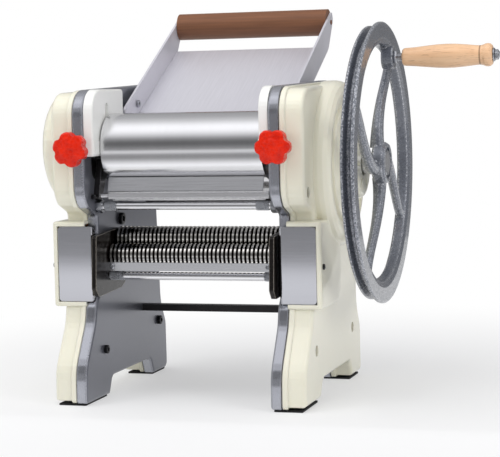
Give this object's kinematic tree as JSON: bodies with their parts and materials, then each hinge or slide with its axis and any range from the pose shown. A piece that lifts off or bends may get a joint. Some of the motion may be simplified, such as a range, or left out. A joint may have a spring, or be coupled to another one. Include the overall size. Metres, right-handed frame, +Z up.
{
  "type": "manual pasta machine",
  "caption": "Free-standing hand-driven pasta machine: two side frames carry smooth rollers, a noodle cutter and a feed chute, turned by a spoked flywheel with a crank grip.",
  "frame": {"origin": "bottom centre of the box round the whole machine", "axes": "+X along the rollers to the flywheel side, +Y from the front with the knobs to the back, +Z up"},
  "size_m": [0.4498, 0.3321, 0.4078],
  "materials": {
    "frame_paint": "silver-grey paint on cast metal",
    "cream_plastic": "glossy cream moulded plastic",
    "panel_steel": "brushed stainless panel",
    "white_plastic": "white moulded plastic",
    "black_rubber": "black rubber",
    "roller_steel": "polished stainless steel",
    "bright_steel": "bright machined steel",
    "dark_steel": "dark blackened steel",
    "bronze": "sintered bronze",
    "gear_steel": "machined gear steel",
    "red_plastic": "glossy red plastic",
    "flywheel_iron": "silver hammer paint on cast iron",
    "light_wood": "turned light wood",
    "dark_wood": "dark wooden rod",
    "sheet_steel": "plain sheet steel"
  },
  "bodies": {
    "base": {"left_frame": "frame_paint", "right_frame": "frame_paint", "left_cover": "cream_plastic", "right_cover": "cream_plastic", "left_front_panel": "panel_steel", "right_front_panel": "panel_steel", "left_guard": "white_plastic", "right_guard": "white_plastic", "rubber_feet": "black_rubber", "drive_bushes": "bronze", "rear_scraper": "dark_steel", "upper_tie_rod": "bright_steel", "tie_rod_nuts": "bright_steel", "tie_rod_bushes": "bright_steel", "rear_upper_tie_rod": "bright_steel", "rear_tie_bar": "dark_steel", "frame_bolts": "dark_steel", "left_cutter_plate": "dark_steel", "right_cutter_plate": "dark_steel", "cutter_bushes": "bronze", "front_comb": "bright_steel", "rear_comb": "dark_steel", "lower_front_rod": "bright_steel", "lower_rod_bushes": "bright_steel", "cutter_rear_rod": "bright_steel", "idler_pin": "bright_steel", "cover_screws": "dark_steel", "panel_screws": "dark_steel", "chute_pivots": "bright_steel"},
    "drive": {"rear_roller": "roller_steel", "roller_drive_gear": "gear_steel", "cutter_drive_gear": "gear_steel", "flywheel": "flywheel_iron", "hub_nut": "bright_steel", "crank_bolt": "bright_steel", "grip_nut": "bright_steel"},
    "grip": {"wooden_grip": "light_wood"},
    "carriage": {"left_bearing_block": "dark_steel", "right_bearing_block": "dark_steel", "front_roller_bushes": "bronze", "front_scraper_blade": "bright_steel", "front_scraper_bar": "bright_steel"},
    "front_roller": {"front_roller": "roller_steel", "front_roller_gear": "gear_steel"},
    "left_knob": {"left_knob": "red_plastic", "left_adjusting_screw": "bright_steel"},
    "right_knob": {"right_knob": "red_plastic", "right_adjusting_screw": "bright_steel"},
    "idler": {"idler_gear": "gear_steel", "idler_bush": "bronze"},
    "rear_cutter": {"rear_cutter_roll": "bright_steel", "rear_cutter_gear": "gear_steel"},
    "front_cutter": {"front_cutter_roll": "bright_steel", "front_cutter_gear": "gear_steel"},
    "chute": {"left_chute_rail": "sheet_steel", "right_chute_rail": "sheet_steel", "chute_floor": "sheet_steel"},
    "chute_roller": {"chute_roller": "dark_wood"}
  },
  "joints": [
    {"name": "flywheel_spin", "type": "hinge", "parent": "base", "child": "drive", "pos_m": [-0.0789, -0.02106, 0.24], "axis": [1, 0, 0], "continuous": true},
    {"name": "grip_spin", "type": "hinge", "parent": "drive", "child": "grip", "pos_m": [0.1711, 0.01284, 0.34884], "axis": [1, 0, 0], "continuous": true},
    {"name": "gap_slide", "type": "slide", "parent": "base", "child": "carriage", "axis": [0, 1, 0], "range_m": [-0.0015, 0.0015]},
    {"name": "front_roller_spin", "type": "hinge", "parent": "carriage", "child": "front_roller", "pos_m": [-0.0789, -0.08961, 0.26201], "axis": [1, 0, 0], "continuous": true},
    {"name": "left_knob_turn", "type": "hinge", "parent": "carriage", "child": "left_knob", "pos_m": [-0.1849, -0.14106, 0.26201], "axis": [0, 1, 0], "range_deg": [-360, 360]},
    {"name": "right_knob_turn", "type": "hinge", "parent": "carriage", "child": "right_knob", "pos_m": [0.0271, -0.14106, 0.26201], "axis": [0, 1, 0], "range_deg": [-360, 360]},
    {"name": "idler_spin", "type": "hinge", "parent": "base", "child": "idler", "pos_m": [-0.0789, -0.05421, 0.19569], "axis": [1, 0, 0], "continuous": true},
    {"name": "rear_cutter_spin", "type": "hinge", "parent": "base", "child": "rear_cutter", "pos_m": [-0.0789, -0.06444, 0.16533], "axis": [1, 0, 0], "continuous": true},
    {"name": "front_cutter_spin", "type": "hinge", "parent": "base", "child": "front_cutter", "pos_m": [-0.0789, -0.08106, 0.149], "axis": [1, 0, 0], "continuous": true},
    {"name": "chute_lift", "type": "hinge", "parent": "base", "child": "chute", "pos_m": [-0.0789, -0.00106, 0.306], "axis": [1, 0, 0], "range_deg": [0, 25]},
    {"name": "chute_roller_spin", "type": "hinge", "parent": "chute", "child": "chute_roller", "pos_m": [-0.0789, 0.15106, 0.39284], "axis": [1, 0, 0], "continuous": true}
  ],
  "couplings": [
    {"joint": "front_roller_spin", "follows": "flywheel_spin", "ratio": -1},
    {"joint": "idler_spin", "follows": "flywheel_spin", "ratio": -1.7143},
    {"joint": "rear_cutter_spin", "follows": "flywheel_spin", "ratio": 3},
    {"joint": "front_cutter_spin", "follows": "flywheel_spin", "ratio": -3},
    {"joint": "left_knob_turn", "follows": "gap_slide", "rad_per_m": 4188.8},
    {"joint": "right_knob_turn", "follows": "gap_slide", "rad_per_m": 4188.8}
  ]
}
